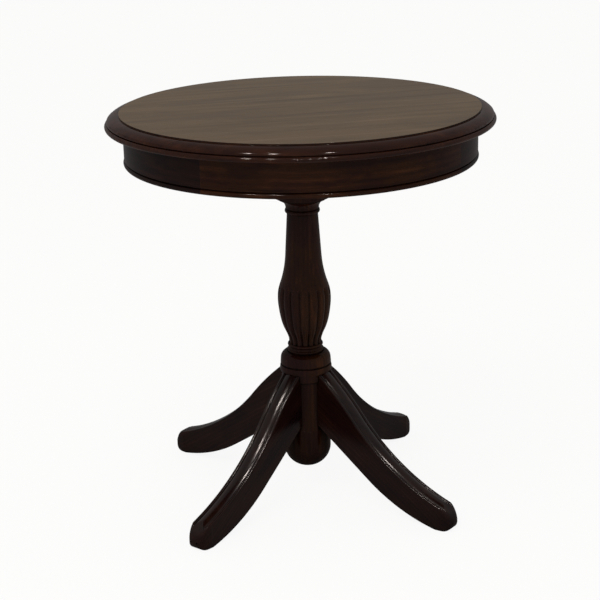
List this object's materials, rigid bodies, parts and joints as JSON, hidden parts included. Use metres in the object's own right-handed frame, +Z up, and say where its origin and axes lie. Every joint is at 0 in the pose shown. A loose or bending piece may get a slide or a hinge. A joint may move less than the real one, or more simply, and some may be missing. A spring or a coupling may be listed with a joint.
{
  "type": "wine table",
  "caption": "Round wine table with a moulded top and deep apron on a turned, reeded column with sabre legs.",
  "frame": {"origin": "on the floor, under the middle of the column", "axes": "+Z up along the column; the legs stand midway between the X and Y axes"},
  "size_m": [0.564, 0.564, 0.5994],
  "materials": {
    "polished_top": "high-gloss polish over dark red-brown hardwood",
    "polished_apron": "high-gloss polish over dark red-brown hardwood",
    "polished_turning": "high-gloss polish over dark red-brown hardwood",
    "polished_leg": "high-gloss polish over dark red-brown hardwood",
    "carcase_wood": "planed and left bare",
    "tongue_wood": "planed and left bare",
    "screw_steel": "dull steel"
  },
  "bodies": {
    "root": {"apron_joint_block_1": "carcase_wood", "apron_joint_block_2": "carcase_wood", "apron_joint_block_3": "carcase_wood", "apron_joint_block_4": "carcase_wood", "apron_segment_1": "polished_apron", "apron_segment_2": "polished_apron", "apron_segment_3": "polished_apron", "apron_segment_4": "polished_apron", "bearer_lower": "carcase_wood", "bearer_screws": "screw_steel", "bearer_upper": "carcase_wood", "block_screws": "screw_steel", "column": "polished_turning", "column_block": "carcase_wood", "glue_block_1": "carcase_wood", "glue_block_2": "carcase_wood", "glue_block_3": "carcase_wood", "glue_block_4": "carcase_wood", "glue_block_5": "carcase_wood", "glue_block_6": "carcase_wood", "glue_block_7": "carcase_wood", "glue_block_8": "carcase_wood", "leg_1": "polished_leg", "leg_2": "polished_leg", "leg_3": "polished_leg", "leg_4": "polished_leg", "pendant": "polished_turning", "tenon_wedge": "tongue_wood", "top_board_1": "polished_top", "top_board_2": "polished_top", "top_board_3": "polished_top", "top_board_4": "polished_top", "top_board_5": "polished_top", "top_tongue_1": "tongue_wood", "top_tongue_2": "tongue_wood", "top_tongue_3": "tongue_wood", "top_tongue_4": "tongue_wood"}
  },
  "joints": []
}
